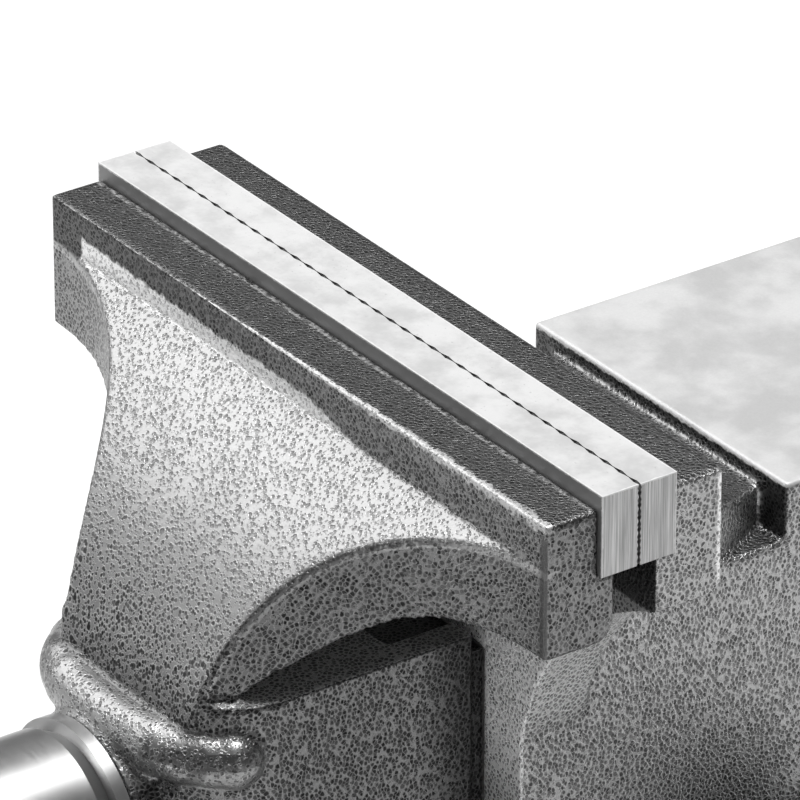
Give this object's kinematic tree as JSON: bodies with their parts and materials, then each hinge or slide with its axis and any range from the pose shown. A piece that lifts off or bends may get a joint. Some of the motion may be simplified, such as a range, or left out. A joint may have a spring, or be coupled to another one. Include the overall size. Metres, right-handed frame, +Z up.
{
  "type": "swivel bench vise",
  "caption": "Bench vise with serrated jaw plates, a coved sliding front jaw on a hollow slide, an anvil, a lead screw with sliding handle and a swivel base with lever locks.",
  "frame": {"origin": "on the swivel axis at the underside of the base, where it meets the bench", "axes": "+Z up along the swivel axis, X along the jaws, -Y towards the user and the handle"},
  "size_m": [0.23, 0.2726, 0.165],
  "materials": {
    "cast_paint": "grey hammer-finish paint, anvil top and seats left bare and ground",
    "jaw_steel": "ground hardened steel",
    "screw_steel": "turned and oiled",
    "nut_iron": "machined grey iron",
    "dark_steel": "black oxide",
    "handle_steel": "satin chrome plate"
  },
  "bodies": {
    "base": {"swivel_base": "cast_paint"},
    "body": {"fixed_jaw": "cast_paint", "rear_jaw_plate": "jaw_steel", "rear_plate_screws": "dark_steel", "lead_nut": "nut_iron", "lead_nut_bolt": "dark_steel", "lead_nut_washer": "screw_steel", "lock_bolts": "dark_steel", "lock_washers": "screw_steel"},
    "front_jaw": {"moving_jaw": "cast_paint", "front_jaw_plate": "jaw_steel", "front_plate_screws": "dark_steel"},
    "screw": {"lead_screw": "screw_steel", "thrust_washer": "screw_steel", "spring_washers": "screw_steel", "screw_spring": "screw_steel", "retaining_pin": "dark_steel"},
    "handle": {"handle_bar": "handle_steel", "handle_knob_left": "handle_steel", "handle_knob_right": "handle_steel"},
    "lock_left": {"lock_nut_left": "dark_steel", "lock_lever_left": "handle_steel"},
    "lock_right": {"lock_nut_right": "dark_steel", "lock_lever_right": "handle_steel"}
  },
  "joints": [
    {"name": "body_swivel", "type": "hinge", "parent": "base", "child": "body", "pos_m": [0, 0, 0.024], "axis": [0, 0, 1], "range_deg": [-60, 60]},
    {"name": "jaw_slide", "type": "slide", "parent": "body", "child": "front_jaw", "axis": [0, -1, 0], "range_m": [0, 0.12]},
    {"name": "screw_turn", "type": "hinge", "parent": "front_jaw", "child": "screw", "pos_m": [0, -0.12, 0.084], "axis": [0, -1, 0], "range_deg": [0, 7200]},
    {"name": "handle_slide", "type": "slide", "parent": "screw", "child": "handle", "axis": [1, 0, 0], "range_m": [-0.069, 0.069]},
    {"name": "lock_left_turn", "type": "hinge", "parent": "body", "child": "lock_left", "pos_m": [-0.062, 0, 0.05], "axis": [0, 0, 1], "range_deg": [0, 90]},
    {"name": "lock_right_turn", "type": "hinge", "parent": "body", "child": "lock_right", "pos_m": [0.062, 0, 0.05], "axis": [0, 0, 1], "range_deg": [0, 90]}
  ],
  "couplings": [
    {"joint": "jaw_slide", "follows": "screw_turn", "m_per_rad": 0.00095493}
  ]
}
